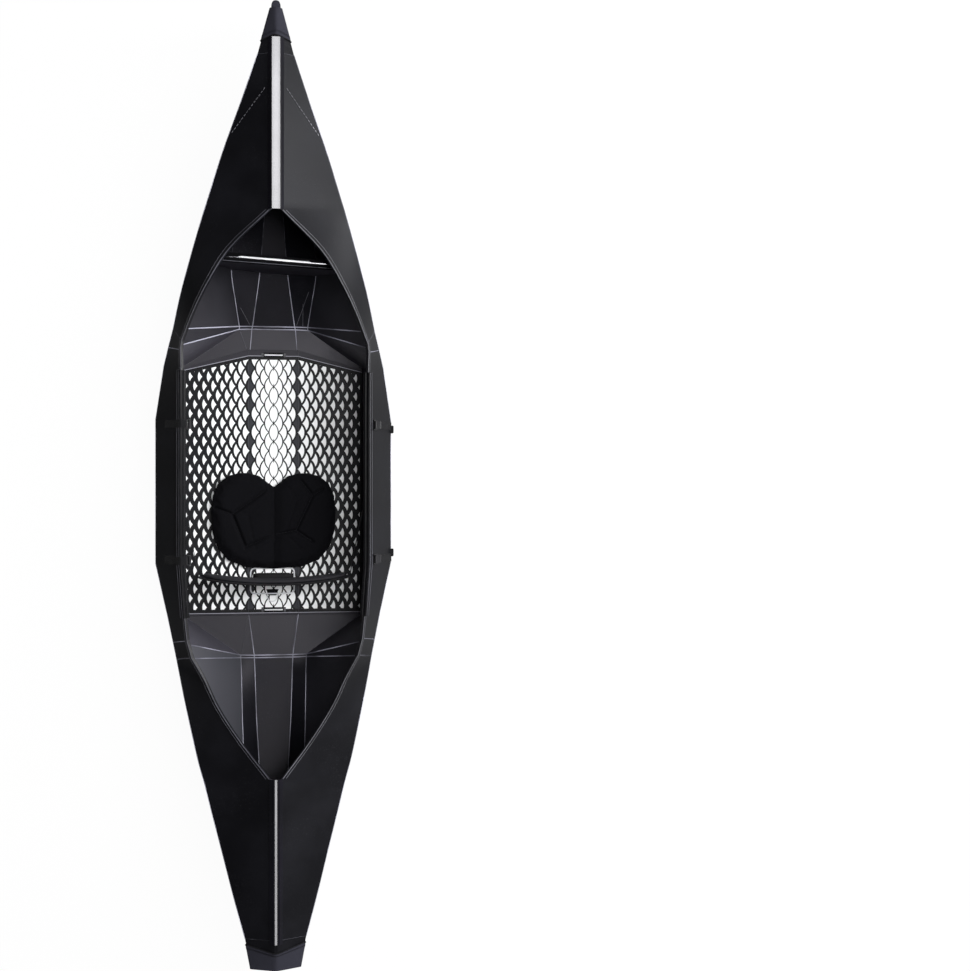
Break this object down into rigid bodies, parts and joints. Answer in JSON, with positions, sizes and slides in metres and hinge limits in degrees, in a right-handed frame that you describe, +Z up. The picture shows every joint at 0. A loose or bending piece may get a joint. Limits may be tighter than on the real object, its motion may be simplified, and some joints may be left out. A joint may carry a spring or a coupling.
{
  "type": "folding kayak",
  "caption": "Single-seat folding kayak opened out for use: creased plastic sheet hull, clip-on seam rails, strap buckles, floor board, seat and foot brace.",
  "frame": {"origin": "centre of the overall box at the underside of the floor", "axes": "+Y to the bow, +X to starboard, +Z up"},
  "size_m": [0.7361, 2.95, 0.3347],
  "materials": {
    "sheet": "satin black corrugated sheet",
    "deck_sheet": "satin black corrugated sheet",
    "rail": "glossy black",
    "trim": "satin black",
    "sleeve": "matte dark navy grey",
    "webbing": "woven black",
    "buckle": "moulded black",
    "floor_board": "white cells with black outlines",
    "brace_board": "satin black corrugated sheet",
    "cushion": "black foam skin with sewn channels",
    "hinge_steel": "brushed"
  },
  "bodies": {
    "hull": {"floor_middle": "sheet", "keel_bow": "sheet", "keel_stern": "sheet", "bow_end": "sheet", "stern_end": "sheet", "floor_bow_starboard": "sheet", "floor_bow_port": "sheet", "floor_stern_starboard": "sheet", "floor_stern_port": "sheet", "side_middle_starboard": "sheet", "side_middle_port": "sheet", "side_bow_starboard": "sheet", "side_bow_port": "sheet", "side_stern_starboard": "sheet", "side_stern_port": "sheet", "gunwale_strip_starboard": "deck_sheet", "gunwale_strip_port": "deck_sheet", "rim_rail_starboard": "rail", "rim_rail_port": "rail", "strap_front_starboard": "webbing", "strap_front_port": "webbing", "strap_rear_starboard": "webbing", "strap_rear_port": "webbing", "buckle_frame_front_starboard": "buckle", "buckle_frame_front_port": "buckle", "buckle_frame_rear_starboard": "buckle", "buckle_frame_rear_port": "buckle", "floor_board_middle": "floor_board", "floor_board_leaf_starboard": "floor_board", "floor_board_leaf_port": "floor_board", "floor_board_tab_front": "webbing", "floor_board_tab_rear": "webbing", "seat_cushion": "cushion", "backrest_bracket": "buckle", "backrest_hinge_pin": "hinge_steel"},
    "bow_deck_port_flap": {"bow_deck_port": "deck_sheet", "bow_rim_trim_port": "trim", "bow_seam_rail": "rail"},
    "bow_deck_starboard_flap": {"bow_deck_starboard": "deck_sheet", "bow_rim_trim_starboard": "trim"},
    "stern_deck_port_flap": {"stern_deck_port": "deck_sheet", "stern_rim_trim_port": "trim", "stern_seam_rail": "rail"},
    "stern_deck_starboard_flap": {"stern_deck_starboard": "deck_sheet", "stern_rim_trim_starboard": "trim"},
    "bow_cover": {"bow_sleeve": "sleeve", "bow_pull_tab": "webbing"},
    "stern_cover": {"stern_sleeve": "sleeve"},
    "backrest": {"backrest_panel": "rail", "backrest_pad": "cushion", "backrest_strap_starboard": "webbing", "backrest_strap_port": "webbing"},
    "foot_brace_board": {"foot_brace": "brace_board"},
    "front_starboard_lever": {"buckle_lever_front_starboard": "buckle"},
    "front_port_lever": {"buckle_lever_front_port": "buckle"},
    "rear_starboard_lever": {"buckle_lever_rear_starboard": "buckle"},
    "rear_port_lever": {"buckle_lever_rear_port": "buckle"}
  },
  "joints": [
    {"name": "bow_deck_port_fold", "type": "hinge", "parent": "hull", "child": "bow_deck_port_flap", "pos_m": [-0.3289, 0.48675, 0.18915], "axis": [-0.2932, -0.9462, -0.1367], "range_deg": [0, 95]},
    {"name": "bow_deck_starboard_fold", "type": "hinge", "parent": "hull", "child": "bow_deck_starboard_flap", "pos_m": [0.3289, 0.48675, 0.18915], "axis": [-0.2932, 0.9462, 0.1367], "range_deg": [0, 57]},
    {"name": "stern_deck_port_fold", "type": "hinge", "parent": "hull", "child": "stern_deck_port_flap", "pos_m": [-0.31405, -0.5354, 0.19362], "axis": [0.2455, -0.9626, 0.1147], "range_deg": [0, 95]},
    {"name": "stern_deck_starboard_fold", "type": "hinge", "parent": "hull", "child": "stern_deck_starboard_flap", "pos_m": [0.31405, -0.5354, 0.19362], "axis": [0.2455, 0.9626, -0.1147], "range_deg": [0, 57]},
    {"name": "bow_cover_pull", "type": "slide", "parent": "hull", "child": "bow_cover", "axis": [0, 1, 0], "range_m": [0, 0.13]},
    {"name": "stern_cover_pull", "type": "slide", "parent": "hull", "child": "stern_cover", "axis": [0, -1, 0], "range_m": [0, 0.11]},
    {"name": "backrest_hinge", "type": "hinge", "parent": "hull", "child": "backrest", "pos_m": [0, -0.304, 0.062], "axis": [1, 0, 0], "range_deg": [-50, 12], "deforming": ["backrest_strap_starboard", "backrest_strap_port"]},
    {"name": "foot_brace_slide", "type": "slide", "parent": "hull", "child": "foot_brace_board", "axis": [0, -1, 0], "range_m": [0, 0.09]},
    {"name": "front_starboard_lever_hinge", "type": "hinge", "parent": "hull", "child": "front_starboard_lever", "pos_m": [0.3106, 0.19, 0.24626], "axis": [0, -1, 0], "range_deg": [0, 75]},
    {"name": "front_port_lever_hinge", "type": "hinge", "parent": "hull", "child": "front_port_lever", "pos_m": [-0.25977, 0.19, 0.24492], "axis": [0, -1, 0], "range_deg": [0, 75]},
    {"name": "rear_starboard_lever_hinge", "type": "hinge", "parent": "hull", "child": "rear_starboard_lever", "pos_m": [0.3106, -0.228, 0.24626], "axis": [0, -1, 0], "range_deg": [0, 75]},
    {"name": "rear_port_lever_hinge", "type": "hinge", "parent": "hull", "child": "rear_port_lever", "pos_m": [-0.25977, -0.228, 0.24492], "axis": [0, -1, 0], "range_deg": [0, 75]}
  ],
  "couplings": [
    {"joint": "bow_deck_starboard_fold", "follows": "bow_deck_port_fold", "ratio": 0.6},
    {"joint": "stern_deck_starboard_fold", "follows": "stern_deck_port_fold", "ratio": 0.6}
  ]
}
